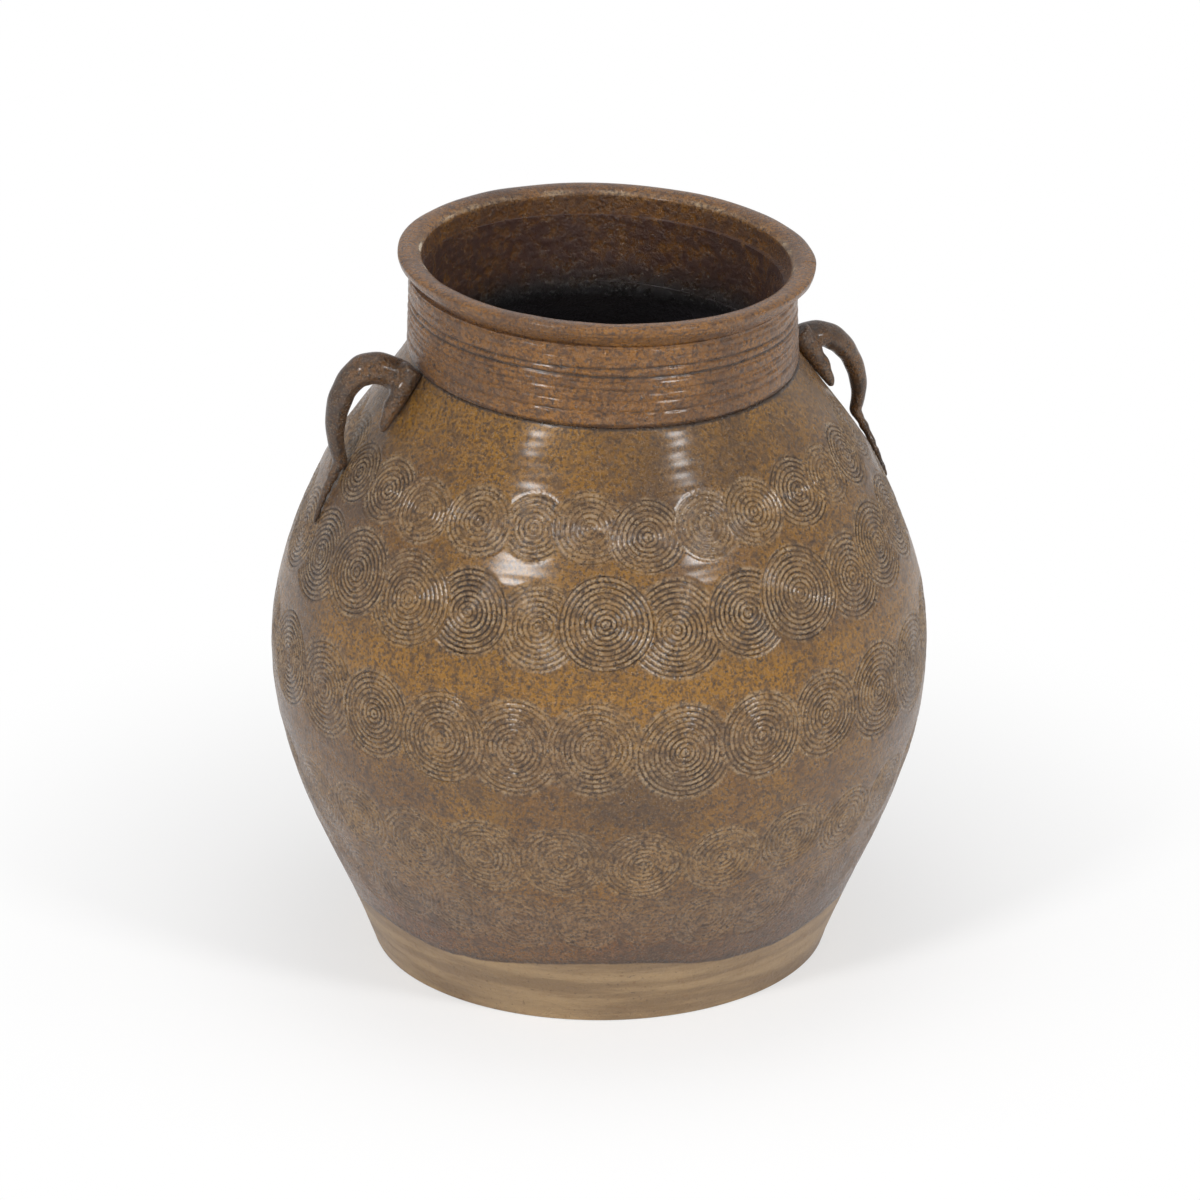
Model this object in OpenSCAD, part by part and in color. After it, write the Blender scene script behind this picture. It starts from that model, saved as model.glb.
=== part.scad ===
// A wide-mouthed storage jar of glazed stoneware, luted together from thrown sections.
// The origin is the middle of the underside, +Z is up and -Y is the front.

/* [Foot] */
// Radius of the jar where it stands on the ground
foot_r = 113.5; // [90:0.5:135]
// How fast the wall leans out at the ground, as radius gained per height
foot_flare = 0.33; // [0:0.01:0.45]
// Height of the thick bare ring that carries the body
foot_ring_h = 30; // [18:1:50]
// Rounding of the edge that stands on the ground
foot_round = 2; // [0.5:0.5:4]
// Thickness of the slab that closes the bottom
floor_t = 11; // [6:0.5:14]
// Width of the slanted joint round the bottom slab
floor_bevel = 4; // [1:0.5:8]

/* [Body] */
// Thickness of the body wall, square to its surface
wall = 9.5; // [6:0.5:13]
// Rise of the slanted joints between the sections of the wall, from outside to inside
joint_rise = 4; // [1:0.5:8]
// Height of the hip, where the straight flare starts to curve in
hip_h = 75; // [60:1:100]
// Radius of the hip
hip_r = 145.4; // [132:0.2:155]
// Radius gained per height at the hip
hip_flare = 0.42; // [0.3:0.01:0.5]
// Height of the widest place, where the two halves of the body are joined
belly_h = 158; // [135:1:180]
// Radius of the widest place
belly_r = 164.2; // [156:0.2:176]
// Height of the place where the shoulder turns in to the neck
shoulder_h = 245; // [225:1:262]
// Radius of that place
shoulder_r = 141.5; // [132:0.5:150]
// Radius lost per height there
shoulder_fall = 0.48; // [0.3:0.01:0.7]
// Radius lost per height where the shoulder reaches the neck
seat_fall = 0.60; // [0.4:0.01:0.9]

/* [Neck] */
// Height of the seam between shoulder and neck, on the neck's own axis
seat_h = 314; // [296:1:330]
// Radius of the opening through the neck
bore_r = 89.7; // [70:0.1:94]
// Thickness of the neck wall at the seam
neck_wall = 7.7; // [5:0.1:10]
// How far the neck's lower edge stands proud of the shoulder
neck_proud = 0.9; // [0.3:0.1:2]
// How much the neck's outside narrows toward the lip
neck_taper = 1.2; // [0:0.1:2.5]
// Height of the neck between its seam and the lip
neck_h = 39.4; // [25:0.2:60]
// How far the neck sits to the right of the body's axis
neck_shift = 1.8; // [0:0.1:3]
// How far the seam and the lip dip to the right, in degrees
dip_right = 2.3; // [0:0.1:4]
// How far the lip dips to the back, in degrees
dip_back = 2.2; // [0:0.1:4]

/* [Lip] */
// How far the lip stands out past the top of the neck
lip_out = 7.8; // [4:0.1:12]
// Height of the lip's widest edge above the neck
lip_edge_h = 11.2; // [8:0.2:14]
// Rise of the lip's domed top above its widest edge
lip_dome = 2; // [1:0.1:4]
// How far the lip sits to the right of the neck
lip_shift = 1.4; // [0:0.1:2]
// Least distance of the lip's inner edge behind the opening through the neck
lip_step = 0.3; // [0.3:0.1:2]

/* [Lugs] */
// Turn of the left lug's root toward the front, in degrees
left_turn = 17; // [0:0.5:25]
// Further turn of the left lug's foot, in degrees
left_slant = -3; // [-6:0.5:6]
// Further turn of the tip of the left tail, in degrees
left_drift = 0; // [-6:0.5:6]
// Turn of the right lug's root toward the back, in degrees
right_turn = 20; // [0:0.5:25]
// Further turn of the right lug's foot, in degrees
right_slant = 1; // [-6:0.5:6]
// Further turn of the tip of the right tail, in degrees
right_drift = -6; // [-6:0.5:6]
// Turn from a lug's root to its inner end, in degrees
pad_turn = 4.2; // [3:0.1:6]
// Radial thickness of the left lug's coil
left_thick = 11.2; // [9:0.2:13]
// Radial thickness of the right lug's coil
right_thick = 9; // [8:0.2:13]
// Width of a lug's coil, along the wall
lug_wide = 12; // [9:0.5:16]
// How much fuller the coil is at its root than along its leg
lug_swell = 0.5; // [0:0.05:0.6]
// Reach of the left arch's guide points above the shoulder
left_reach = 33; // [28:0.5:36]
// Reach of the right arch's guide points above the shoulder
right_reach = 23.5; // [22:0.5:36]
// How far the left arch is drawn up toward the lip
left_lift = 6; // [0:0.5:8]
// How far the right arch is drawn up toward the lip
right_lift = 0; // [0:0.5:8]
// Drop from the seam to the root of a lug's arch
root_drop = 8; // [5:0.5:12]
// Drop from the seam to the foot of a lug's arch
foot_drop = 51; // [46:1:58]
// Drop from the foot of the arch to the tip of its tail
tail_drop = 30; // [15:1:40]
// Thickness of the tail where it is smeared out
tail_tip = 2.4; // [1.6:0.2:4]
// Drop from the seam to the tip of the inner end, pressed on the shoulder
pad_drop = 30; // [24:1:40]
// Thickness of the inner end beside the neck
pad_thick = 11; // [7:0.5:12]

/* [Smoothness] */
// Rise of one band of the body's curve
band_h = 6; // [3:0.5:12]
// Sides of a lug's coil
coil_sides = 14; // [10:2:20]
// Rings along a lug's arch
arch_rings = 16; // [10:1:24]

/* [Hidden] */
neck_r = bore_r + neck_wall;
neck_top_r = neck_r - neck_taper;
neck_past = 2 * wall;
seat_r = neck_r - neck_proud;
lip_r = neck_top_r + lip_out;
lip_in_r = bore_r + lip_shift + lip_step;
lip_z = seat_h + neck_h;
body_top = seat_h + neck_r * tan(dip_right) + band_h;
foot_off = 4;
crown_back = 13;
foot_thin = 0.35;
root_off = 3;
tail_rings = 8;
pad_rings = 9;
arc_steps = 10;
big = 3 * belly_r;
$fn = 120;

clay = "tan";
amber = "peru";
brown = "sienna";
dark = "saddlebrown";

// Curve of the wall: its height, radius and slope at each named place
places = [
    [0, foot_r, foot_flare],
    [hip_h, hip_r, hip_flare],
    [belly_h, belly_r, 0],
    [shoulder_h, shoulder_r, -shoulder_fall],
    [seat_h, seat_r, -seat_fall],
];

function span_of(z) =
    z < places[1][0] ? 0 : z < places[2][0] ? 1 : z < places[3][0] ? 2 : 3;

// Smooth curve between two places, with the slope given at each
function between(a, b, z) =
    let (
        h = b[0] - a[0],
        t = (z - a[0]) / h,
        start = 1 - 3 * t * t + 2 * t * t * t,
        leave = t - 2 * t * t + t * t * t,
        arrive = t * t * t - t * t
    )
    start * a[1] + (1 - start) * b[1] + h * (leave * a[2] + arrive * b[2]);

// Outer radius of the wall at a height, going on straight above the seam
function outer_r(z) =
    z > seat_h
        ? seat_r - seat_fall * (z - seat_h)
        : between(places[span_of(z)], places[span_of(z) + 1], z);

function slope_at(z) = outer_r(z + 0.5) - outer_r(z - 0.5);
function inner_r(z) = outer_r(z) - wall * sqrt(1 + pow(slope_at(z), 2));

// Heights from low to high in equal bands
function heights(low, high) =
    let (n = ceil((high - low) / band_h))
    [for (i = [0:n]) low + (high - low) * i / n];

function backward(list) = [for (i = [len(list) - 1:-1:0]) list[i]];
function outer_line(low, high) = [for (z = heights(low, high)) [outer_r(z), z]];
function inner_line(low, high) = [for (z = heights(low, high)) [inner_r(z), z]];

function bezier(a, b, c, d, t) =
    pow(1 - t, 3) * a + 3 * pow(1 - t, 2) * t * b + 3 * (1 - t) * t * t * c + pow(t, 3) * d;
function bezier_line(a, b, c, d) =
    [for (i = [1:arc_steps]) bezier(a, b, c, d, i / arc_steps)];
function mix(a, b, t) = a + (b - a) * t;

// The plane of the seam and the plane of the lip's underside
module on_seam_plane() {
    translate([neck_shift, 0, seat_h])
        rotate([0, dip_right, 0])
            children();
}

module on_lip_plane() {
    translate([neck_shift, 0, lip_z])
        rotate([-dip_back, dip_right, 0])
            children();
}

module all_above() {
    translate([-big / 2, -big / 2, 0])
        cube(big);
}

module all_below() {
    translate([-big / 2, -big / 2, -big])
        cube(big);
}

module neck_space() {
    translate([neck_shift, 0, seat_h - 3 * wall])
        cylinder(r = bore_r, h = 3 * wall + neck_h * 2);
}

// Tapered length of neck that runs on past both of its ends
module neck_length(hollow_r) {
    spare = neck_taper * neck_past / neck_h;
    translate([neck_shift, 0, 0])
        rotate_extrude()
            polygon([
                [hollow_r, seat_h - neck_past],
                [neck_r + spare, seat_h - neck_past],
                [neck_top_r - spare, lip_z + neck_past],
                [hollow_r, lip_z + neck_past],
            ]);
}

// Slab under everything, with its edge slanted into the foot ring
module floor_disc() {
    color(clay)
        rotate_extrude()
            polygon([
                [0, 0],
                [inner_r(floor_t) - floor_bevel, 0],
                [inner_r(floor_t), floor_t],
                [0, floor_t],
            ]);
}

module foot_ring() {
    color(clay)
        rotate_extrude()
            polygon(concat(
                [[inner_r(floor_t) - floor_bevel, 0], [foot_r - foot_round, 0]],
                [for (a = [30:30:90])
                    [outer_r(foot_round * (1 - cos(a))) - foot_round * (1 - sin(a)),
                     foot_round * (1 - cos(a))]],
                outer_line(foot_round + 1, foot_ring_h),
                backward(inner_line(floor_t, foot_ring_h + joint_rise))
            ));
}

module lower_wall() {
    color(amber)
        rotate_extrude()
            polygon(concat(
                outer_line(foot_ring_h, belly_h),
                backward(inner_line(foot_ring_h + joint_rise, belly_h + joint_rise))
            ));
}

module shoulder_wall() {
    color(amber)
        difference() {
            rotate_extrude()
                polygon(concat(
                    outer_line(belly_h, body_top),
                    backward(inner_line(belly_h + joint_rise, body_top))
                ));
            on_seam_plane() all_above();
            neck_space();
        }
}

module neck_collar() {
    color(brown)
        difference() {
            neck_length(bore_r);
            on_seam_plane() all_below();
            on_lip_plane() all_above();
        }
}

// Turned-out lip: domed top, round outer edge and a hollow under it
module lip_roll() {
    inner_top = [lip_in_r, lip_edge_h - 1.2];
    outer_edge = [lip_r, lip_edge_h];
    peak = lip_edge_h + lip_dome * 4 / 3;
    under = mix(neck_top_r, lip_r, 0.22);
    color(brown)
        on_lip_plane()
            translate([lip_shift, 0, 0])
                rotate_extrude()
                    polygon(concat(
                        [[lip_in_r, 0], inner_top],
                        bezier_line(inner_top, [lip_in_r + 2, peak], [lip_r, peak], outer_edge),
                        bezier_line(
                            outer_edge,
                            [lip_r, lip_edge_h * 0.62],
                            [under, lip_edge_h * 0.42],
                            [neck_top_r - lip_shift, 0]
                        )
                    ));
}

// What the lugs are pressed on: the filled outside of shoulder and neck
module lug_seat() {
    difference() {
        rotate_extrude()
            polygon(concat(
                [[0, belly_h]],
                outer_line(belly_h, body_top),
                [[0, body_top]]
            ));
        on_seam_plane() all_above();
    }
    difference() {
        neck_length(0);
        on_seam_plane() all_below();
    }
}

// Point over the shoulder: height on the wall, distance off it and turn along it
function over_wall(z, off, turn) =
    let (
        s = slope_at(z),
        k = sqrt(1 + s * s),
        r = outer_r(z) + off / k
    )
    [r * cos(turn), r * sin(turn), z - off * s / k];

function unit(v) = v / norm(v);

// Closed tube through stations, each [height on the wall, distance off it, turn, half thickness, half width]
module coil(stations) {
    last = len(stations) - 1;
    n = coil_sides;
    middles = [for (s = stations) over_wall(s[0], s[1], s[2])];
    points = [
        for (i = [0:last])
            let (
                along = unit(middles[min(i + 1, last)] - middles[max(i - 1, 0)]),
                side = [-sin(stations[i][2]), cos(stations[i][2]), 0],
                wide = unit(side - (side * along) * along),
                thick = cross(along, wide)
            )
            for (k = [0:n - 1])
                middles[i]
                    + stations[i][3] * cos(360 * k / n) * thick
                    + stations[i][4] * sin(360 * k / n) * wide
    ];
    sides = [
        for (i = [0:last - 1])
            for (k = [0:n - 1])
                for (half = [0, 1])
                    let (a = i * n + k, b = i * n + (k + 1) % n)
                    half == 0 ? [a, b, a + n] : [b, b + n, a + n]
    ];
    polyhedron(
        points,
        concat(sides, [[for (k = [n - 1:-1:0]) k], [for (k = [0:n - 1]) last * n + k]])
    );
}

// Arch from its root out over the shoulder and down to its foot
function arch(top, thick, reach, lift, slant) = [
    for (i = [0:arch_rings])
        let (
            t = i / arch_rings,
            p = bezier(
                [root_drop, root_off],
                [root_drop - lift, reach],
                [foot_drop - crown_back - lift, reach],
                [foot_drop, foot_off],
                t
            ),
            full = 1 + lug_swell * pow(cos(90 * t), 2) - foot_thin * pow(t, 4)
        )
        [top - p[0], p[1], slant * t, thick / 2 * full, lug_wide / 2 * full]
];

// Tail smeared down the wall from the foot of the arch
function tail(top, thick, slant, drift) = [
    for (i = [1:tail_rings])
        let (t = i / tail_rings, thin = 1 - foot_thin)
        [
            top - foot_drop - tail_drop * t,
            mix(foot_off, tail_tip / 6, t),
            slant + drift * t,
            mix(thin * thick, tail_tip, sqrt(t)) / 2,
            mix(thin * lug_wide, tail_tip, sqrt(t)) / 2,
        ]
];

// Inner end of the coil, pressed flat on the shoulder beside the root
function pad(top, side) = [
    for (i = [0:pad_rings])
        let (t = i / pad_rings, full = sqrt(1 - 0.95 * t * t) * pad_thick)
        [top - pad_drop * t, 0.45 * full, side * pad_turn, full / 2, full / 2]
];

// Lug whose root is at an azimuth, with its inner end on one side of the root
module lug(azimuth, side, thick, reach, lift, slant, drift) {
    top = seat_h - neck_r * cos(azimuth) * tan(dip_right);
    difference() {
        rotate([0, 0, azimuth]) {
            coil(concat(
                arch(top, thick, reach, lift, slant),
                tail(top, thick, slant, drift)
            ));
            coil(pad(top, side));
        }
        lug_seat();
    }
}

module left_lug() {
    color(dark)
        lug(180 + left_turn, 1, left_thick, left_reach, left_lift, left_slant, left_drift);
}

module right_lug() {
    color(dark)
        lug(right_turn, -1, right_thick, right_reach, right_lift, right_slant, right_drift);
}

floor_disc();
foot_ring();
lower_wall();
shoulder_wall();
neck_collar();
lip_roll();
left_lug();
right_lug();
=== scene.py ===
import math

import bpy
import numpy as np
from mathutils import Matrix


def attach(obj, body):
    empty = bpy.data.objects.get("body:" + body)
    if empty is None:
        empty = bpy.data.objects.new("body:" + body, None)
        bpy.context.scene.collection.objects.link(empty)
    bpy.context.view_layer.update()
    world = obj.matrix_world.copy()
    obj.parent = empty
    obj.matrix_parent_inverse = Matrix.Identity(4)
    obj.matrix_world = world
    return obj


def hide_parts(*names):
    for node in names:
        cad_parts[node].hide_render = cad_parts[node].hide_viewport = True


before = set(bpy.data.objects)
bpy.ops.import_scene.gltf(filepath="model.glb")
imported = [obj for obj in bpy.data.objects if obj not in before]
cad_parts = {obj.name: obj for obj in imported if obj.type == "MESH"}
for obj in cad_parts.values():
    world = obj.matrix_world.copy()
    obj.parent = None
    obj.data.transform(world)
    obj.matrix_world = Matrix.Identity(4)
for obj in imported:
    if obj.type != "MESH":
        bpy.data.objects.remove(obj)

# A glazed storage jar with stamped rings and two coil lugs.
# Sizes are in millimetres, as in the part's source, and azimuths in the tables are in degrees.
MM = 0.001
FULL_TURN = 2 * math.pi
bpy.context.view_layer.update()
rng = np.random.default_rng(7)

# The jar's sizes
FOOT_R, FOOT_FLARE, FOOT_RING_H, FLOOR_T = 113.5, 0.33, 30.0, 11.0
WALL, JOINT_RISE = 9.5, 4.0
HIP_H, HIP_R, HIP_FLARE = 75.0, 145.4, 0.42
BELLY_H, BELLY_R = 158.0, 164.2
SHOULDER_H, SHOULDER_R, SHOULDER_FALL = 245.0, 141.5, 0.48
SEAT_H, SEAT_FALL = 314.0, 0.60
BORE_R, NECK_WALL, NECK_PROUD, NECK_TAPER = 89.7, 7.7, 0.9, 1.2
NECK_H, NECK_SHIFT = 39.4, 1.8
DIP_RIGHT, DIP_BACK = math.radians(2.3), math.radians(2.2)
LIP_OUT, LIP_EDGE_H, LIP_DOME, LIP_SHIFT, LIP_STEP = 7.8, 11.2, 2.0, 1.4, 0.3
LIP_INNER_DROP, LIP_INNER_PULL, LIP_SIDE, LIP_UNDER_R, LIP_UNDER_H = 1.2, 2.0, 0.62, 0.22, 0.42
NECK_R = BORE_R + NECK_WALL
NECK_TOP_R = NECK_R - NECK_TAPER
SEAT_R = NECK_R - NECK_PROUD
LIP_R = NECK_TOP_R + LIP_OUT
LIP_IN_R = BORE_R + LIP_SHIFT + LIP_STEP
LIP_Z = SEAT_H + NECK_H

# Height, radius and slope of the wall at each named place
PLACES = np.array([
    [0.0, FOOT_R, FOOT_FLARE],
    [HIP_H, HIP_R, HIP_FLARE],
    [BELLY_H, BELLY_R, 0.0],
    [SHOULDER_H, SHOULDER_R, -SHOULDER_FALL],
    [SEAT_H, SEAT_R, -SEAT_FALL],
])

# The lugs' coils: the arch, its smeared tail, and the pad where the inner end is pressed on
LUG_WIDE, LUG_SWELL, ROOT_DROP, ROOT_OFF = 12.0, 0.5, 8.0, 3.0
FOOT_DROP, FOOT_OFF, FOOT_THIN, CROWN_BACK = 51.0, 4.0, 0.35, 13.0
TAIL_DROP, TAIL_TIP, TAIL_NARROWS = 30.0, 2.4, 0.6
PAD_DROP, PAD_THICK, PAD_TURN, PAD_ROUND, PAD_OFF = 30.0, 11.0, 4.2, 0.95, 0.45

# Each lug: where its root is, which way its pad lies, its arch, and how its tail drifts off
LEFT_LUG = dict(azimuth=197, side=1, thick=11.2, reach=33.0, lift=6.0, slant=-3.0, drift=0.0)
RIGHT_LUG = dict(azimuth=20, side=-1, thick=9.0, reach=23.5, lift=0.0, slant=1.0, drift=-6.0)

# Faces: how many go round each piece, and how many rows each surface has
WALL_COLUMNS, RIM_COLUMNS, DISC_COLUMNS, COIL_SIDES = 1440, 1080, 360, 28
WALL_STEP, SLOPE_ROOM, WALL_ROWS_IN = 0.7, 1.12, 26
NECK_ROWS, NECK_ROWS_IN, DISC_ROWS = 110, 60, 60
LIP_ROWS_IN, LIP_CURVE_ROWS = 14, 40
ARCH_RINGS, TAIL_RINGS, PAD_RINGS = 48, 24, 30
LUG_VOXEL, SHARP_ANGLE = 0.8, math.radians(62)

# How far the skins lie under the CAD solids' surfaces, before relief and unevenness
WALL_SINK, LIP_SINK, BORE_SINK, FLOOR_SINK = 0.2, 0.3, 0.3, 0.3
# Height over which the walls' relief fades out at the ground and at the neck
FADE = 2.0
# Overlap of the neck with the shoulder and of the lip with the neck
NECK_OVERLAP, LIP_OVERLAP = 1.0, 0.6
# Rounds in which the shoulder's edge is fitted to the seam, and how far below it the bore widens the inside
SEAM_ROUNDS, BORE_ROOM = 4, 20

# Rows of stamps: height, radius of a stamp, how many go round, turn of the first, depth
STAMP_ROWS = [
    (271.5, 18.5, 27, -2.2, 0.9),
    (230.0, 24.5, 26, 1.5, 1.0),
    (169.5, 25.0, 25, 0.0, 0.9),
    (105.0, 22.0, 25, 8.0, 0.65),
    (67.0, 20.0, 28, -3.3, 0.45),
]
FRONT = -90
AZIMUTH_SCATTER, RADIUS_SCATTER, HEIGHT_SCATTER, DEPTH_SCATTER = 0.8, 1.8, 2.8, (0.75, 1.1)

# A stamp's rings: distance between them, depth and sharpness of a groove
RING_PITCH, RING_DEPTH, RING_SHARP = 2.6, 0.95, 1.7
# Soft edge of a stamp, how deep all of it sinks, and how unevenly it is pressed
STAMP_EDGE, STAMP_SINK, PRESS_VARIES = 1.2, 0.12, 0.15
OUT_OF_ROUND, RING_WOBBLE = 0.012, 0.16
# Room beyond a stamp's radius in which its rows and columns of points are looked for
ROW_ROOM, COLUMN_ROOM = 14, 2

# Grooves round the neck: height above the seam, depth and width
NECK_GROOVES = [
    (38.2, 0.525, 0.7), (34.0, 0.375, 0.6), (28.7, 0.9, 0.8), (24.7, 1.05, 0.9), (22.2, 0.525, 0.6),
    (18.4, 0.675, 0.7), (16.4, 0.45, 0.6), (13.3, 0.6, 0.7), (8.2, 0.675, 0.8), (1.2, 0.75, 0.9),
]
GROOVE_SWAY, GROOVE_RIPPLE = 0.35, 0.2
# Height and depth of the hollow where the neck meets its seam
NECK_HOLLOW = 1.6
# Shade painted along the seam on the shoulder, and its width
SEAM_SHADE, SEAM_SHADE_WIDE = 1.3, 1.2

# The lip's fine ridges and worn edge, as rows of its section from the inside over to the neck
LIP_RIDGES, RIDGE_H, RIDGE_WIDE = (64, 70, 76), 0.35, 1.6
WORN_ROW, WORN_WIDE, WORN_SHARE, INSIDE_SHARE = 17, 4.0, 0.55, 0.6

# The bottom slab: mean height underneath and its limits, and the turning rings on top
FLOOR_LIFT, FLOOR_LOWEST, FLOOR_HIGHEST = 0.25, 0.02, 1.0
FLOOR_BEVEL, FLOOR_MIDDLE, FLOOR_RING_H, FLOOR_RING_WIDE = 4.0, 0.5, 0.25, 2.2

# Unevenness: height, seed, how many waves, and the shortest and longest of them
WALL_SLOW = (0.18, 3, 10, 40, 120)
WALL_FAST = (0.07, 4, 12, 3, 9)
NECK_WAVES = (0.1, 11, 14, 1.6, 4)
BORE_WAVES = (0.1, 12, 12, 4, 14)
LIP_WAVES = (0.12, 21, 9, 18, 60)
WORN_WAVES = (0.45, 22, 8, 12, 50)
FLOOR_WAVES = (0.2, 31, 12, 8, 50)
# Distance that one radian counts for in those waves: a short one draws them out round the jar
WALL_ROUND, WALL_DRAWN, NECK_DRAWN, BORE_DRAWN, LIP_ROUND = 150, 15, 20, 30, 95

# Lower edge of the glaze: mean height, slant to the back, waves, where one peaks and how far apart they are
GLAZE_H, GLAZE_SLANT, GLAZE_WAVE, GLAZE_PEAK, GLAZE_WAVE_TURN = 30, 6, 3, 37, 65
# Height above the glaze's edge that stands for a surface glazed all over
FULLY_GLAZED = 50.0
# What each point says to the materials: depth of relief, how strongly it is stamped or worn,
# whether it is inside, how far it is above the glaze's edge, and its height
POINT_VALUES = ("relief", "mark", "inside", "glazed", "height")


def outer_r(z):
    """Radius of the wall: smooth through the named places, and straight above the seat."""
    z = np.asarray(z, dtype=float)
    i = np.clip(np.searchsorted(PLACES[:, 0], z, side="right") - 1, 0, len(PLACES) - 2)
    a, b = PLACES[i], PLACES[i + 1]
    h = b[..., 0] - a[..., 0]
    t = (z - a[..., 0]) / h
    start = 1 - 3 * t**2 + 2 * t**3
    r = start * a[..., 1] + (1 - start) * b[..., 1]
    r = r + h * ((t - 2 * t**2 + t**3) * a[..., 2] + (t**3 - t**2) * b[..., 2])
    return np.where(z > SEAT_H, SEAT_R - SEAT_FALL * (z - SEAT_H), r)


def slope_at(z):
    """Radius gained per height, over the millimetre round this height."""
    return outer_r(z + 0.5) - outer_r(z - 0.5)


def inner_r(z):
    return outer_r(z) - WALL * np.sqrt(1 + slope_at(z) ** 2)


def seam_z(x):
    """Height of the seam under the neck, which dips to the right."""
    return SEAT_H - (x - NECK_SHIFT) * math.tan(DIP_RIGHT)


def lip_plane_z(x, y):
    """Height of the plane the lip sits on, which dips to the right and to the back."""
    return LIP_Z - (x - NECK_SHIFT) * math.tan(DIP_RIGHT) - y * math.tan(DIP_BACK) / math.cos(DIP_RIGHT)


def waves(a, b, kind):
    """Smooth unevenness over two coordinates: a sum of seeded waves."""
    height, seed, count, shortest, longest = kind
    draws = np.random.default_rng(seed)
    total = np.zeros(np.broadcast(a, b).shape)
    for _ in range(count):
        turn, pitch = draws.uniform(0, FULL_TURN), draws.uniform(shortest, longest)
        along = a * math.cos(turn) + b * math.sin(turn)
        total += np.sin(FULL_TURN * along / pitch + draws.uniform(0, FULL_TURN))
    return height * (total / math.sqrt(count))


def bell(distance, width):
    """A smooth rise from 0 to 1 and back, about distance 0."""
    return np.exp(-((distance / width) ** 2))


def bezier(a, b, c, d, t):
    a, b, c, d = (np.array(p, dtype=float) for p in (a, b, c, d))
    t = np.asarray(t)[:, None]
    return (1 - t) ** 3 * a + 3 * (1 - t) ** 2 * t * b + 3 * (1 - t) * t**2 * c + t**3 * d


def turned(a, b, angle):
    """Two coordinates after a turn in their plane."""
    c, s = math.cos(angle), math.sin(angle)
    return a * c - b * s, a * s + b * c


def azimuths(columns):
    """A row of azimuths, in radians, that goes once round."""
    return np.linspace(0, FULL_TURN, columns, endpoint=False)[None, :]


def rows_between(start, end, count):
    return np.linspace(start, end, count)[:, None]


def round_points(r, theta, z, shift=0.0):
    """Grid of points from radius, azimuth and height, about an axis shifted to the right."""
    r, theta, z = np.broadcast_arrays(r, theta, z)
    return np.stack([shift + r * np.cos(theta), r * np.sin(theta), z], axis=-1)


def stamps():
    """Every stamp as its azimuth, height, radius and depth, in the order of stamping."""
    out = []
    for row_z, radius, count, turn, depth in STAMP_ROWS:
        for k in range(count):
            azimuth = FRONT + turn + 360 * k / count + rng.uniform(-AZIMUTH_SCATTER, AZIMUTH_SCATTER)
            size = radius + rng.uniform(-RADIUS_SCATTER, RADIUS_SCATTER)
            height = row_z + rng.uniform(-HEIGHT_SCATTER, HEIGHT_SCATTER)
            out.append((math.radians(azimuth), height, size, depth * rng.uniform(*DEPTH_SCATTER)))
    rng.shuffle(out)
    return out


STAMPS = stamps()


def stamp_relief(theta, z):
    """Depth of the stamped rings below the wall, and how strongly the place is stamped."""
    h, mark = np.zeros(z.shape), np.zeros(z.shape)
    for azimuth, height, radius, depth in STAMPS:
        across = ((theta[0] - azimuth + math.pi) % FULL_TURN - math.pi) * float(outer_r(height))
        rows = np.where(np.abs(z[:, 0] - height) < radius + ROW_ROOM)[0]
        columns = np.where(np.abs(across) < radius + COLUMN_ROOM)[0]
        place = np.ix_(rows, columns)
        across = across[columns]
        up = (z[place] - height) * math.sqrt(1 + float(slope_at(height)) ** 2)
        uneven = 1 + OUT_OF_ROUND * np.sin(3 * np.arctan2(up, across) + azimuth * 9)
        wobble = RING_WOBBLE * np.sin(across * 1.9) * np.sin(up * 1.6 + azimuth)
        d = np.hypot(across, up) * uneven + wobble
        ring = (0.5 + 0.5 * np.cos(FULL_TURN * d / RING_PITCH)) ** RING_SHARP
        lean = np.sin(across * 0.23 + azimuth * 5) * np.sin(up * 0.19 + height)
        press = depth * (1 - PRESS_VARIES + PRESS_VARIES * lean)
        edge = np.clip((radius - d) / STAMP_EDGE, 0, 1)
        h[place] = np.where(edge > 0, -press * edge * (RING_DEPTH * ring + STAMP_SINK), h[place])
        mark[place] = np.where(edge > 0, press * edge, mark[place])
    return h, mark


def loop_faces(rows, cols, closed_rows):
    """Quads of a grid that is closed round its columns, and perhaps over its rows too."""
    i = np.arange(rows if closed_rows else rows - 1)[:, None]
    j = np.arange(cols)[None, :]
    a = i * cols + j
    b = i * cols + (j + 1) % cols
    c = ((i + 1) % rows) * cols + (j + 1) % cols
    d = ((i + 1) % rows) * cols + j
    return np.stack([a, b, c, d], axis=-1).reshape(-1, 4)


def new_piece(name, mesh):
    piece = bpy.data.objects.new(name, mesh)
    bpy.context.scene.collection.objects.link(piece)
    return piece


def smooth_faces(mesh):
    mesh.polygons.foreach_set("use_smooth", np.ones(len(mesh.polygons), dtype=bool))


def dress(piece, node, values, material):
    """A piece's values on its points, its material, and its place in the part."""
    for key, value in values.items():
        layer = piece.data.attributes.new(key, "FLOAT", "POINT")
        layer.data.foreach_set("value", value.astype(np.float32).ravel())
    piece.data.materials.append(material)
    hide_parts(node)
    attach(piece, "root")


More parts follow.
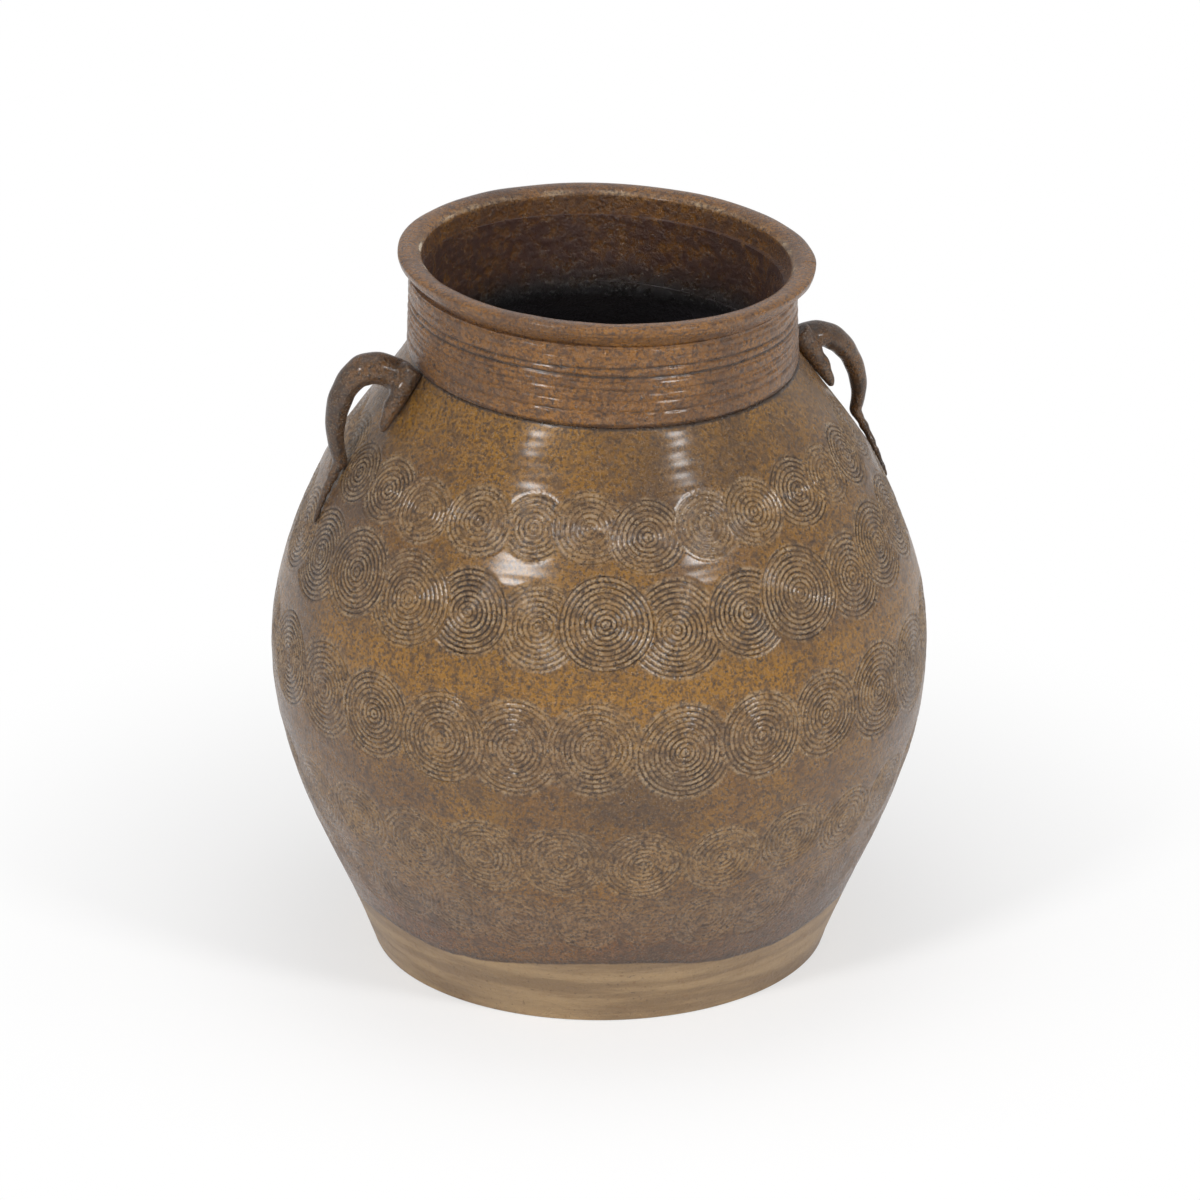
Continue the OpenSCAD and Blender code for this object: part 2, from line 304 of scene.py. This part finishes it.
def shell(node, surfaces, material):
    """A closed piece from its surfaces in turn, each a grid of points with the values it gives."""
    points = np.concatenate([grid for grid, _ in surfaces])
    faces = loop_faces(*points.shape[:2], True).astype(np.int32)
    mesh = bpy.data.meshes.new(node + "_skin")
    mesh.vertices.add(points.size // 3)
    mesh.vertices.foreach_set("co", (points * MM).astype(np.float32).ravel())
    mesh.loops.add(faces.size)
    mesh.loops.foreach_set("vertex_index", faces.ravel())
    mesh.polygons.add(len(faces))
    mesh.polygons.foreach_set("loop_start", np.arange(0, faces.size, 4, dtype=np.int32))
    mesh.update(calc_edges=True)
    mesh.validate()
    smooth_faces(mesh)
    mesh.set_sharp_from_angle(angle=SHARP_ANGLE)
    values = {key: [] for key in POINT_VALUES}
    for grid, given in surfaces:
        usual = {"relief": 0, "mark": 0, "inside": 0, "glazed": FULLY_GLAZED, "height": grid[..., 2]}
        for key in POINT_VALUES:
            values[key].append(np.broadcast_to(given.get(key, usual[key]), grid.shape[:2]))
    values = {key: np.concatenate(parts) for key, parts in values.items()}
    dress(new_piece(node + "_skin", mesh), node, values, material)


def glaze_edge(theta):
    """Height of the glaze's lower edge, above the bare foot."""
    front = np.degrees(theta) - FRONT
    peaks = np.cos(np.radians((front - GLAZE_PEAK) * 360 / GLAZE_WAVE_TURN))
    return GLAZE_H + GLAZE_SLANT * np.cos(np.radians(front)) + GLAZE_WAVE * peaks


def wall_piece(node, low, high, low_in, high_in, material, meets_neck=False):
    """A section of the wall: stamped outside, plain inside, closed at its joints."""
    theta = azimuths(WALL_COLUMNS)
    edge = np.full(theta.shape, high)
    if meets_neck:
        for _ in range(SEAM_ROUNDS):
            edge = seam_z((SEAT_R - SEAT_FALL * (edge - SEAT_H)) * np.cos(theta))
    rows = int((high - low) * SLOPE_ROOM / WALL_STEP)
    z = low + rows_between(0, 1, rows) * (edge - low)
    relief, mark = stamp_relief(theta, z)
    uneven = waves(theta * WALL_ROUND, z, WALL_SLOW) + waves(theta * WALL_DRAWN, z, WALL_FAST)
    fade = np.clip(z / FADE, 0, 1)
    shade = 0
    if meets_neck:
        fade = fade * np.clip((edge - z) / FADE, 0, 1)
        shade = SEAM_SHADE * bell(edge - z, SEAM_SHADE_WIDE)
    slope = slope_at(z)
    square = np.sqrt(1 + slope**2)
    off = (relief + uneven) * fade - WALL_SINK
    outside = round_points(outer_r(z) + off / square, theta, z - off * slope / square)
    z_in = low_in + rows_between(1, 0, WALL_ROWS_IN) * (high_in + (edge - high) - low_in)
    r_in = inner_r(z_in)
    if meets_neck:
        bored = z_in > SEAT_H - BORE_ROOM
        r_in = np.where(bored, np.maximum(r_in, BORE_R), r_in)
    inside = round_points(r_in, theta, z_in)
    given = {
        # The relief value also carries the painted shade along the seam, which the glaze paints umber
        "relief": relief / RING_DEPTH - shade,
        "mark": mark,
        "glazed": z - glaze_edge(theta),
        "height": z,
    }
    shell(node, [(outside, given), (inside, {"inside": 1})], material)


def neck_piece(material):
    """The neck: grooves outside, hollowed at its seam, and throwing ridges inside."""
    theta = azimuths(RIM_COLUMNS)
    part = rows_between(0, 1, NECK_ROWS)
    x, y = NECK_SHIFT + NECK_R * np.cos(theta), NECK_R * np.sin(theta)
    low, high = seam_z(x), lip_plane_z(x, y)
    z = low + part * (high - low)
    rise = part * NECK_H
    relief = np.zeros(z.shape)
    for height, depth, width in NECK_GROOVES:
        sway = GROOVE_SWAY * np.sin(theta * 2 + height)
        ripple = GROOVE_RIPPLE * np.sin(theta * 5 + 2 * height)
        relief -= depth * bell(rise - (height + sway + ripple), width)
    relief += waves(theta * NECK_DRAWN, rise, NECK_WAVES)
    hollow = NECK_HOLLOW * np.clip(1 - rise / NECK_HOLLOW, 0, 1) ** 2
    outside = round_points(NECK_R - NECK_TAPER * part + relief - hollow, theta, z, NECK_SHIFT)
    z_in = (low - NECK_OVERLAP) + rows_between(1, 0, NECK_ROWS_IN) * (high - low + NECK_OVERLAP)
    ridges = np.minimum(waves(theta * BORE_DRAWN, z_in, BORE_WAVES), BORE_SINK)
    inside = round_points(BORE_R + BORE_SINK - ridges, theta, z_in, NECK_SHIFT)
    shell("neck_collar", [(outside, {"relief": relief}), (inside, {"inside": 1})], material)


def lip_section():
    """Outline of the lip, as radius and height: up the inside, over the dome and back to the neck."""
    inner_top, edge = (LIP_IN_R, LIP_EDGE_H - LIP_INNER_DROP), (LIP_R, LIP_EDGE_H)
    peak = LIP_EDGE_H + LIP_DOME * 4 / 3
    side = (LIP_R, LIP_EDGE_H * LIP_SIDE)
    under = (NECK_TOP_R + LIP_UNDER_R * (LIP_R - NECK_TOP_R), LIP_EDGE_H * LIP_UNDER_H)
    end = (NECK_TOP_R - LIP_SHIFT, -LIP_OVERLAP)
    t = np.linspace(0, 1, LIP_CURVE_ROWS)
    return np.concatenate([
        np.linspace((LIP_IN_R, -LIP_OVERLAP), inner_top, LIP_ROWS_IN)[:-1],
        bezier(inner_top, (LIP_IN_R + LIP_INNER_PULL, peak), (LIP_R, peak), edge, t)[:-1],
        bezier(edge, side, under, end, t),
    ])


def lip_piece(material):
    """The turned-out lip, with fine ridges at its lower edge and a worn inner edge."""
    section = lip_section()
    along = np.gradient(section, axis=0)
    normal = np.stack([-along[:, 1], along[:, 0]], axis=-1) / np.linalg.norm(along, axis=1)[:, None]
    theta = azimuths(RIM_COLUMNS)
    row = np.arange(len(section))[:, None]
    ridges = sum(RIDGE_H * bell(row - place, RIDGE_WIDE) for place in LIP_RIDGES)
    dents = waves(theta * LIP_ROUND, row * 0.5, LIP_WAVES)
    off = ridges - LIP_SINK + np.where(row > LIP_ROWS_IN, dents, 0)
    r = section[:, 0][:, None] + off * normal[:, 0][:, None]
    h = section[:, 1][:, None] + off * normal[:, 1][:, None]
    x, y = LIP_SHIFT + r * np.cos(theta), r * np.sin(theta)
    y, h = turned(y, h, -DIP_BACK)
    x, h = turned(x, h, -DIP_RIGHT)
    points = np.stack([x + NECK_SHIFT, y, h + LIP_Z], axis=-1)
    worn = bell(row - WORN_ROW, WORN_WIDE) * (WORN_SHARE + waves(theta * LIP_ROUND, row * 0.2, WORN_WAVES))
    given = {
        "relief": ridges * 1.2 - 0.2,
        "mark": np.clip(worn, 0, 1),
        "inside": np.where(row < LIP_ROWS_IN - 2, INSIDE_SHARE, 0.0),
    }
    shell("lip_roll", [(points, given)], material)


def disc_piece(material):
    """The slab that closes the bottom: uneven underneath, with turning rings on top."""
    theta = azimuths(DISC_COLUMNS)
    rim = float(inner_r(FLOOR_T))
    r = rows_between(FLOOR_MIDDLE, rim - FLOOR_BEVEL, DISC_ROWS)
    low = FLOOR_LIFT + waves(r * np.cos(theta), r * np.sin(theta), FLOOR_WAVES)
    under = round_points(r, theta, np.clip(low, FLOOR_LOWEST, FLOOR_HIGHEST))
    r = rows_between(rim, FLOOR_MIDDLE, DISC_ROWS)
    over = round_points(r, theta, FLOOR_T - FLOOR_SINK + FLOOR_RING_H * np.sin(r / FLOOR_RING_WIDE))
    shell("floor_disc", [(under, {}), (over, {"inside": 1})], material)


def over_wall(z, off, turn):
    """Point at a distance square off the wall, from a height and an azimuth on the wall."""
    slope = float(slope_at(z))
    square = math.sqrt(1 + slope * slope)
    r = float(outer_r(z)) + off / square
    return np.array([r * math.cos(turn), r * math.sin(turn), z - off * slope / square])


def coil(stations):
    """Closed tube through stations: height on the wall, distance off it, azimuth, half sizes."""
    middles = np.array([over_wall(z, off, math.radians(turn)) for z, off, turn, _, _ in stations])
    last = len(stations) - 1
    around = azimuths(COIL_SIDES).T
    rings = []
    for i, (_, _, turn, half_thick, half_wide) in enumerate(stations):
        along = middles[min(i + 1, last)] - middles[max(i - 1, 0)]
        along /= np.linalg.norm(along)
        side = np.array([-math.sin(math.radians(turn)), math.cos(math.radians(turn)), 0.0])
        wide = side - side.dot(along) * along
        wide /= np.linalg.norm(wide)
        thick = np.cross(along, wide)
        rings.append(middles[i] + half_thick * np.cos(around) * thick + half_wide * np.sin(around) * wide)
    points = np.concatenate(rings + [middles[:1], middles[-1:]])
    faces = loop_faces(len(stations), COIL_SIDES, False).tolist()
    first, end = len(points) - 2, len(points) - 1
    for k in range(COIL_SIDES):
        following = (k + 1) % COIL_SIDES
        faces.append((first, following, k))
        faces.append((end, last * COIL_SIDES + k, last * COIL_SIDES + following))
    return points, faces


def lumpy(u, *lumps):
    """Unevenness along a coil, from each wave's share of the size, its rate and its start."""
    return 1 + sum(share * np.sin(u * rate + start) for share, rate, start in lumps)


def lug_stations(azimuth, side, thick, reach, lift, slant, drift):
    """Stations of a lug's two coils: the arch that runs out into a tail, and the pad."""
    top = SEAT_H - NECK_R * math.cos(math.radians(azimuth)) * math.tan(DIP_RIGHT)
    t = np.linspace(0, 1, ARCH_RINGS)
    path = bezier((ROOT_DROP, ROOT_OFF), (ROOT_DROP - lift, reach),
                  (FOOT_DROP - CROWN_BACK - lift, reach), (FOOT_DROP, FOOT_OFF), t)
    full = 1 + LUG_SWELL * np.cos(t * math.pi / 2) ** 2 - FOOT_THIN * t**4
    full = full * lumpy(t, (0.03, 17, azimuth), (0.02, 41, 0))
    arch = [(top - drop, off, azimuth + slant * u, thick / 2 * f, LUG_WIDE / 2 * f)
            for (drop, off), u, f in zip(path, t, full)]
    tail, thin = [], 1 - FOOT_THIN
    for u in np.linspace(0, 1, TAIL_RINGS)[1:]:
        uneven = lumpy(u, (0.12, 31, 0), (0.08, 53, 1))
        half_thick, half_wide = [(thin * size + (TAIL_TIP - thin * size) * u**TAIL_NARROWS) / 2 * uneven
                                 for size in (thick, LUG_WIDE)]
        tail.append((top - FOOT_DROP - TAIL_DROP * u, FOOT_OFF + (TAIL_TIP / 6 - FOOT_OFF) * u,
                     azimuth + slant + drift * u, half_thick, half_wide))
    pad = []
    for u in np.linspace(0, 1, PAD_RINGS):
        size = math.sqrt(1 - PAD_ROUND * u * u) * PAD_THICK * lumpy(u, (0.05, 22, 0))
        pad.append((top - PAD_DROP * u, PAD_OFF * size, azimuth + side * PAD_TURN, size / 2, size / 2))
    return arch + tail, pad


def lug_piece(node, material, lug):
    """A lug: its two coils, made into one skin and smoothed."""
    points, faces, count = [], [], 0
    for stations in lug_stations(**lug):
        coil_points, coil_faces = coil(stations)
        points.append(coil_points)
        faces += [tuple(corner + count for corner in face) for face in coil_faces]
        count += len(coil_points)
    mesh = bpy.data.meshes.new(node)
    mesh.from_pydata([tuple(point * MM) for point in np.concatenate(points)], [], faces)
    piece = new_piece(node + "_skin", mesh)
    remesh = piece.modifiers.new("one skin", "REMESH")
    remesh.mode, remesh.voxel_size = "VOXEL", LUG_VOXEL * MM
    smooth = piece.modifiers.new("soft", "SMOOTH")
    smooth.iterations, smooth.factor = 6, 0.5
    graph = bpy.context.evaluated_depsgraph_get()
    skin = bpy.data.meshes.new_from_object(piece.evaluated_get(graph))
    piece.modifiers.clear()
    piece.data = skin
    skin.name = node + "_skin"
    smooth_faces(skin)
    co = np.zeros(len(skin.vertices) * 3, dtype=np.float32)
    skin.vertices.foreach_get("co", co)
    z = co.reshape(-1, 3)[:, 2] / MM
    values = {key: 0 * z for key in POINT_VALUES}
    values["glazed"], values["height"] = 0 * z + FULLY_GLAZED, z
    dress(piece, node, values, material)


class Graph:
    """Short names for building a material's nodes."""

    def __init__(self, name):
        self.material = bpy.data.materials.new(name)
        self.material.use_nodes = True
        self.tree = self.material.node_tree
        self.tree.nodes.clear()
        self.out = self.tree.nodes.new("ShaderNodeOutputMaterial")
        self.place = self.tree.nodes.new("ShaderNodeTexCoord").outputs["Object"]

    def link(self, value, socket):
        if isinstance(value, bpy.types.NodeSocket):
            self.tree.links.new(value, socket)
        else:
            socket.default_value = value

    def value(self, name):
        """A value that the mesh holds on its points."""
        node = self.tree.nodes.new("ShaderNodeAttribute")
        node.attribute_name = name
        return node.outputs["Fac"]

    def noise(self, scale, detail, rough, stretch=None):
        """Noise with this many features to a metre."""
        node = self.tree.nodes.new("ShaderNodeTexNoise")
        node.inputs["Scale"].default_value = scale
        node.inputs["Detail"].default_value = detail
        node.inputs["Roughness"].default_value = rough
        where = self.place
        if stretch:
            mapping = self.tree.nodes.new("ShaderNodeMapping")
            mapping.inputs["Scale"].default_value = stretch
            self.tree.links.new(where, mapping.inputs["Vector"])
            where = mapping.outputs["Vector"]
        self.tree.links.new(where, node.inputs["Vector"])
        return node.outputs["Fac"]

    def steps(self, value, low, high, to_low=0.0, to_high=1.0):
        """A smooth step from one result to the other, as the value goes from low to high."""
        node = self.tree.nodes.new("ShaderNodeMapRange")
        node.interpolation_type = "SMOOTHSTEP"
        self.link(value, node.inputs["Value"])
        for key, number in (("From Min", low), ("From Max", high), ("To Min", to_low), ("To Max", to_high)):
            self.link(number, node.inputs[key])
        return node.outputs["Result"]

    def math(self, kind, a, b):
        node = self.tree.nodes.new("ShaderNodeMath")
        node.operation = kind
        self.link(a, node.inputs[0])
        self.link(b, node.inputs[1])
        return node.outputs["Value"]

    def times(self, a, b):
        return self.math("MULTIPLY", a, b)

    def plus(self, a, b):
        return self.math("ADD", a, b)

    def mix(self, share, under, over):
        """One colour laid over another, by its share."""
        node = self.tree.nodes.new("ShaderNodeMix")
        node.data_type = "RGBA"
        self.link(share, node.inputs["Factor"])
        self.link(under, node.inputs["A"])
        self.link(over, node.inputs["B"])
        return node.outputs["Result"]

    def surface(self, colour, rough, relief, depth, strength):
        """The shader, with its colour, roughness and bump, linked to the material's output."""
        bump = self.tree.nodes.new("ShaderNodeBump")
        bump.inputs["Strength"].default_value = strength
        bump.inputs["Distance"].default_value = depth
        self.tree.links.new(relief, bump.inputs["Height"])
        shader = self.tree.nodes.new("ShaderNodeBsdfPrincipled")
        self.link(colour, shader.inputs["Base Color"])
        self.link(rough, shader.inputs["Roughness"])
        self.link(bump.outputs["Normal"], shader.inputs["Normal"])
        self.tree.links.new(shader.outputs["BSDF"], self.out.inputs["Surface"])
        return shader


def linear(c):
    return c / 255 / 12.92 if c < 10 else ((c / 255 + 0.055) / 1.055) ** 2.4


def rgb(r, g, b):
    """A screen colour as the shader's linear colour."""
    return (linear(r), linear(g), linear(b), 1.0)


# Colours that glazes share
GOLD, PLUM, TAN, UMBER = rgb(144, 98, 2), rgb(104, 62, 20), rgb(158, 136, 106), rgb(38, 25, 16)
# The near black for the inside below the neck is painted shade, not a glaze colour
SPECK, STAIN, PAINTED_INSIDE_SHADE, WORN = rgb(30, 20, 14), rgb(48, 18, 8), rgb(6, 4, 3), rgb(214, 196, 170)
# Colours of the bare clay, its smudges and its pits
CLAY, CLAY_DARK, SMUDGE = rgb(164, 136, 98), rgb(132, 106, 74), rgb(120, 78, 44)
FOOT_PIT, FLOOR_PIT = rgb(78, 60, 46), rgb(70, 52, 40)
# Each glaze: light, middle and deep colour
AMBER = rgb(132, 90, 6), rgb(114, 75, 10), rgb(60, 37, 14)
NECK_BROWN = rgb(134, 86, 14), rgb(108, 68, 16), rgb(60, 34, 14)
LUG_BROWN = rgb(104, 68, 24), rgb(76, 50, 24), rgb(42, 28, 18)
# Greyish haze that the glaze shows at a glancing view
HAZE = (0.88, 0.82, 0.92, 1)

# Heights between which the glaze changes, and those below which the inside is painted near black as shade
BAND_LOW, BAND_TOP, UNDER_NECK, LOW_GLAZE = (180, 194), (212, 202), (284, 292), (110, 45)
INSIDE_SHADE_HEIGHTS, LIP_TOP = (330, 308), (362, 364)


def warm_zones(g, colour, cloud):
    """Gold between the second and third row of stamps and under the neck, plum low down."""
    height = g.value("height")
    band = g.times(g.steps(height, *BAND_LOW), g.steps(height, *BAND_TOP))
    warm = g.math("MAXIMUM", band, g.times(g.steps(height, *UNDER_NECK), 0.4))
    colour = g.mix(g.times(warm, g.steps(cloud, 0.3, 0.55, 0.45, 0.95)), colour, GOLD)
    low = g.times(g.steps(height, *LOW_GLAZE), g.steps(cloud, 0.35, 0.6, 0.3, 0.9))
    return g.mix(low, colour, PLUM)


def mottled(g, colour, deep, fine):
    """Dark and golden patches, and smaller dark ones."""
    patch = g.noise(11, 6, 0.62)
    colour = g.mix(g.steps(patch, 0.50, 0.66, 0, 0.6), colour, deep)
    colour = g.mix(g.steps(patch, 0.40, 0.30, 0, 0.5), colour, GOLD)
    return g.mix(g.steps(fine, 0.50, 0.64, 0, 0.6), colour, deep)


def over_relief(g, colour, deep, fine, grain):
    """Thin tan glaze on what stands proud, umber in the grooves and as painted shade along the seam, and
    dark grain and specks.
    """
    relief, micro = g.value("relief"), g.noise(1300, 2, 0.6)
    thin = g.times(g.steps(fine, 0.62, 0.40, 0.25, 0.95), g.times(g.value("mark"), 0.95))
    colour = g.mix(g.times(thin, g.steps(relief, -0.75, -0.2)), colour, TAN)
    colour = g.mix(g.steps(grain, 0.48, 0.56, 0, 0.75), colour, deep)
    colour = g.mix(g.steps(micro, 0.60, 0.66, 0, 0.45), colour, TAN)
    # Umber in the grooves, and painted shade along the seam that comes in with the relief value
    groove_and_seam_shade = g.times(g.steps(relief, -0.45, -0.95), g.steps(grain, 0.3, 0.5, 0.5, 0.9))
    colour = g.mix(groove_and_seam_shade, colour, UMBER)
    specks = g.math("MAXIMUM", g.steps(grain, 0.61, 0.66, 0, 0.9), g.steps(fine, 0.70, 0.74, 0, 0.8))
    return g.mix(specks, colour, SPECK)


def mouth_and_lip(g, colour, fine):
    """Red-brown stains inside, painted shade that turns the inside near black below the neck, and a worn
    edge on the lip.
    """
    height, inside = g.value("height"), g.value("inside")
    stains = g.times(g.steps(inside, 0.2, 1.0), g.steps(fine, 0.36, 0.56, 0.3, 0.85))
    colour = g.mix(stains, colour, STAIN)
    # Painted shade: the inside goes near black below the neck
    colour = g.mix(g.times(g.steps(inside, 0.5, 1.0), g.steps(height, *INSIDE_SHADE_HEIGHTS)), colour, PAINTED_INSIDE_SHADE)
    worn = g.times(g.steps(g.value("mark"), 0.75, 1.0), g.steps(height, *LIP_TOP))
    return g.mix(worn, colour, WORN)


def clay_below(g, colour, cloud, fine, grain):
    """Bare clay below the glaze's edge, with an umber line along it. Says also where it is bare."""
    above = g.plus(g.value("glazed"), g.times(g.math("SUBTRACT", cloud, 0.5), 8))
    bare = g.steps(above, 0.6, -0.6)
    line = g.times(g.steps(above, 4.0, 0.5), g.steps(above, -0.6, 0.6))
    colour = g.mix(g.times(line, 0.6), colour, UMBER)
    streak = g.noise(10, 6, 0.65, stretch=(1, 1, 9))
    body = g.mix(g.steps(streak, 0.38, 0.62), CLAY, CLAY_DARK)
    body = g.mix(g.steps(fine, 0.60, 0.70, 0, 0.5), body, SMUDGE)
    body = g.mix(g.steps(grain, 0.60, 0.68, 0, 0.6), body, FOOT_PIT)
    return g.mix(bare, colour, body), bare


def glaze(name, colours, warm=False):
    """Glossy mottled glaze that follows the stamps, the inside, the worn lip and the bare foot."""
    light, middle, deep = colours
    g = Graph(name)
    cloud, fine, grain = g.noise(18, 5, 0.6), g.noise(150, 6, 0.7), g.noise(560, 4, 0.7)
    colour = g.mix(g.steps(cloud, 0.38, 0.60), middle, light)
    if warm:
        colour = warm_zones(g, colour, cloud)
    colour = mottled(g, colour, deep, fine)
    colour = over_relief(g, colour, deep, fine, grain)
    colour = mouth_and_lip(g, colour, fine)
    colour, bare = clay_below(g, colour, cloud, fine, grain)
    rough = g.plus(g.steps(fine, 0.3, 0.7, 0.2, 0.38), g.times(bare, 0.45))
    peel = g.plus(g.times(fine, 1.2), g.times(grain, 0.9))
    shader = g.surface(colour, rough, peel, 0.0022, 0.7)
    shader.inputs["Coat Weight"].default_value = 0.4
    shader.inputs["Coat Roughness"].default_value = 0.2
    shader.inputs["Sheen Weight"].default_value = 0.08
    shader.inputs["Sheen Roughness"].default_value = 0.45
    shader.inputs["Sheen Tint"].default_value = HAZE
    return g.material


def clay(name):
    """Bare fired clay: matt, streaked by the wheel, with pits and smudges."""
    g = Graph(name)
    streak = g.noise(14, 6, 0.6, stretch=(1, 1, 14))
    spots, grain = g.noise(90, 4, 0.6), g.noise(700, 3, 0.6)
    colour = g.mix(g.steps(streak, 0.35, 0.65), CLAY, CLAY_DARK)
    colour = g.mix(g.steps(spots, 0.58, 0.70, 0, 0.6), colour, SMUDGE)
    colour = g.mix(g.steps(grain, 0.62, 0.70, 0, 0.7), colour, FLOOR_PIT)
    peel = g.plus(spots, g.times(grain, 0.6))
    g.surface(colour, g.steps(spots, 0.3, 0.7, 0.7, 0.85), peel, 0.0006, 0.6)
    return g.material


# The jar
body_glaze = glaze("amber glaze", AMBER, warm=True)
neck_glaze = glaze("neck glaze", NECK_BROWN)
lug_glaze = glaze("lug glaze", LUG_BROWN)
bare_clay = clay("bare clay")

ring_top_in, belly_in = FOOT_RING_H + JOINT_RISE, BELLY_H + JOINT_RISE
disc_piece(bare_clay)
wall_piece("foot_ring", 0.3, FOOT_RING_H, FLOOR_T - 0.5, ring_top_in, body_glaze)
wall_piece("lower_wall", FOOT_RING_H, BELLY_H, ring_top_in, belly_in, body_glaze)
wall_piece("shoulder_wall", BELLY_H, SEAT_H, belly_in, SEAT_H, body_glaze, meets_neck=True)
neck_piece(neck_glaze)
lip_piece(neck_glaze)
lug_piece("left_lug", lug_glaze, LEFT_LUG)
lug_piece("right_lug", lug_glaze, RIGHT_LUG)

# Floor, light and camera, in metres
FLOOR_SIDE, FLOOR_WHITE, FLOOR_ROUGH = 6.0, (0.9, 0.9, 0.9, 1), 0.7
# Distance from the jar's axis over which the floor turns plain white, from half to all
WHITE_FROM, WHITE_TO, WHITE_NEAR = 0.14, 0.42, 0.5
WORLD_LIGHT = 0.5

# Softboxes: name, place, width and height, power
SOFTBOXES = [
    ("left softbox", (-1.13, -1.64, 1.55), (0.4, 0.42), 26),
    ("right softbox", (1.42, -1.4, 1.55), (0.4, 0.42), 24),
    ("top softbox", (0, 0.3, 2.2), (1.2, 1.2), 6),
]
AIM = np.array([0, 0, 0.2])

# The photograph's frame: its width at the jar, and the view from far away and a little above
FRAME_WIDE, DISTANCE, ELEVATION, SENSOR = 0.6, 7.0, math.radians(24.2), 36
MIDDLE = np.array([0.0003, 0.0, 0.1787])


def pale_floor():
    """Pale floor that keeps the jar's shadow and turns plain white further away."""
    g = Graph("pale floor")
    shader = g.tree.nodes.new("ShaderNodeBsdfPrincipled")
    shader.inputs["Base Color"].default_value = FLOOR_WHITE
    shader.inputs["Roughness"].default_value = FLOOR_ROUGH
    length = g.tree.nodes.new("ShaderNodeVectorMath")
    length.operation = "LENGTH"
    g.tree.links.new(g.place, length.inputs[0])
    path = g.tree.nodes.new("ShaderNodeLightPath")
    away = g.steps(length.outputs["Value"], WHITE_FROM, WHITE_TO, WHITE_NEAR, 1.0)
    white = g.tree.nodes.new("ShaderNodeEmission")
    both = g.tree.nodes.new("ShaderNodeMixShader")
    g.tree.links.new(g.times(away, path.outputs["Is Camera Ray"]), both.inputs["Fac"])
    g.tree.links.new(shader.outputs["BSDF"], both.inputs[1])
    g.tree.links.new(white.outputs["Emission"], both.inputs[2])
    g.tree.links.new(both.outputs["Shader"], g.out.inputs["Surface"])
    return g.material


def add_floor():
    mesh = bpy.data.meshes.new("floor")
    corners = [(x * FLOOR_SIDE, y * FLOOR_SIDE, 0) for x, y in ((-1, -1), (1, -1), (1, 1), (-1, 1))]
    mesh.from_pydata(corners, [], [(0, 1, 2, 3)])
    mesh.materials.append(pale_floor())
    new_piece("floor", mesh)


def studio_world():
    """Even light from all round, which the camera sees as plain white."""
    world = bpy.data.worlds.new("studio")
    world.use_nodes = True
    tree = world.node_tree
    tree.nodes.clear()
    soft, seen = tree.nodes.new("ShaderNodeBackground"), tree.nodes.new("ShaderNodeBackground")
    soft.inputs["Strength"].default_value = WORLD_LIGHT
    soft.inputs["Color"].default_value = (1, 1, 1, 1)
    seen.inputs["Color"].default_value = (1, 1, 1, 1)
    path, both = tree.nodes.new("ShaderNodeLightPath"), tree.nodes.new("ShaderNodeMixShader")
    end = tree.nodes.new("ShaderNodeOutputWorld")
    tree.links.new(path.outputs["Is Camera Ray"], both.inputs["Fac"])
    tree.links.new(soft.outputs["Background"], both.inputs[1])
    tree.links.new(seen.outputs["Background"], both.inputs[2])
    tree.links.new(both.outputs["Shader"], end.inputs["Surface"])
    bpy.context.scene.world = world


def look_at(obj, target):
    direction = target - np.array(obj.location)
    flat = math.hypot(direction[0], direction[1])
    obj.rotation_euler = (math.pi / 2 + math.atan2(direction[2], flat), 0,
                          math.atan2(direction[1], direction[0]) - math.pi / 2)


def softbox(name, place, size, power):
    lamp = bpy.data.lights.new(name, "AREA")
    lamp.shape, lamp.size, lamp.size_y, lamp.energy = "RECTANGLE", size[0], size[1], power
    obj = new_piece(name, lamp)
    obj.location = place
    look_at(obj, AIM)


def add_camera():
    camera = new_piece("camera", bpy.data.cameras.new("camera"))
    camera.location = MIDDLE + DISTANCE * np.array([0, -math.cos(ELEVATION), math.sin(ELEVATION)])
    camera.data.sensor_width = SENSOR
    camera.data.lens = SENSOR * DISTANCE / FRAME_WIDE
    camera.data.clip_end = 50
    look_at(camera, MIDDLE)
    bpy.context.scene.camera = camera


add_floor()
studio_world()
for box in SOFTBOXES:
    softbox(*box)
add_camera()
bpy.context.scene.view_settings.view_transform = "Standard"
